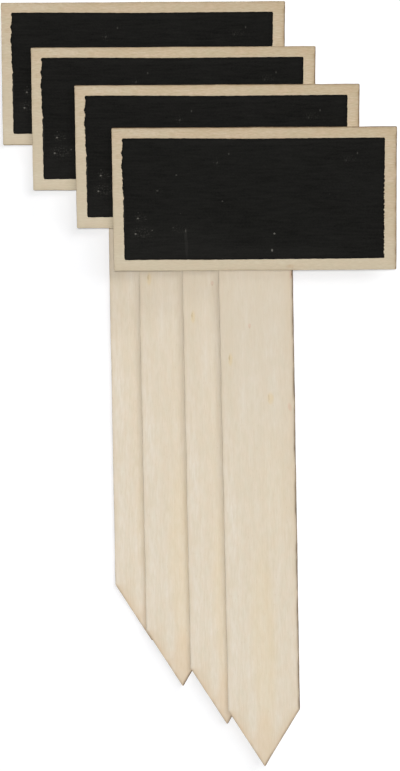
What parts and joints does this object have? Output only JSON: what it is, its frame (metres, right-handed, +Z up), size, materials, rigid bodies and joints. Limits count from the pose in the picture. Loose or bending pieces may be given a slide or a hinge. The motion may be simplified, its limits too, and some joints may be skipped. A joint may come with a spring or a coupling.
{
  "type": "plant label stake",
  "caption": "Flat wooden plant label stakes, each with a wide chalkboard head glued across a pointed strip, laid in a fan.",
  "frame": {"origin": "middle of the fan's footprint, on the surface it lies on", "axes": "+X across the heads towards the top label, +Y from the points to the heads, +Z up, out of the writing faces"},
  "size_m": [0.1124, 0.2158, 0.0262],
  "materials": {
    "face_veneer": "bare pale basswood veneer, fine sanded, laser-cut brown edges",
    "core_veneer": "bare basswood core veneer, seen only as a laser-cut edge",
    "glue": "dried wood glue film, hidden",
    "chalkboard_coat": "matte black chalkboard paint"
  },
  "bodies": {
    "label_1": {"label_1_stake_back_ply": "face_veneer", "label_1_stake_core_ply": "core_veneer", "label_1_stake_front_ply": "face_veneer", "label_1_glue_film": "glue", "label_1_head_back_ply": "face_veneer", "label_1_head_core_ply": "core_veneer", "label_1_head_front_ply": "face_veneer", "label_1_chalk_coat": "chalkboard_coat"},
    "label_2": {"label_2_stake_back_ply": "face_veneer", "label_2_stake_core_ply": "core_veneer", "label_2_stake_front_ply": "face_veneer", "label_2_glue_film": "glue", "label_2_head_back_ply": "face_veneer", "label_2_head_core_ply": "core_veneer", "label_2_head_front_ply": "face_veneer", "label_2_chalk_coat": "chalkboard_coat"},
    "label_3": {"label_3_stake_back_ply": "face_veneer", "label_3_stake_core_ply": "core_veneer", "label_3_stake_front_ply": "face_veneer", "label_3_glue_film": "glue", "label_3_head_back_ply": "face_veneer", "label_3_head_core_ply": "core_veneer", "label_3_head_front_ply": "face_veneer", "label_3_chalk_coat": "chalkboard_coat"},
    "label_4": {"label_4_stake_back_ply": "face_veneer", "label_4_stake_core_ply": "core_veneer", "label_4_stake_front_ply": "face_veneer", "label_4_glue_film": "glue", "label_4_head_back_ply": "face_veneer", "label_4_head_core_ply": "core_veneer", "label_4_head_front_ply": "face_veneer", "label_4_chalk_coat": "chalkboard_coat"}
  },
  "joints": [
    {"name": "label_2_lift", "type": "slide", "parent": "label_1", "child": "label_2", "axis": [0, 0, 1], "range_m": [0, 0.05]},
    {"name": "label_3_lift", "type": "slide", "parent": "label_2", "child": "label_3", "axis": [0, 0, 1], "range_m": [0, 0.05]},
    {"name": "label_4_lift", "type": "slide", "parent": "label_3", "child": "label_4", "axis": [0, 0, 1], "range_m": [0, 0.05]}
  ]
}
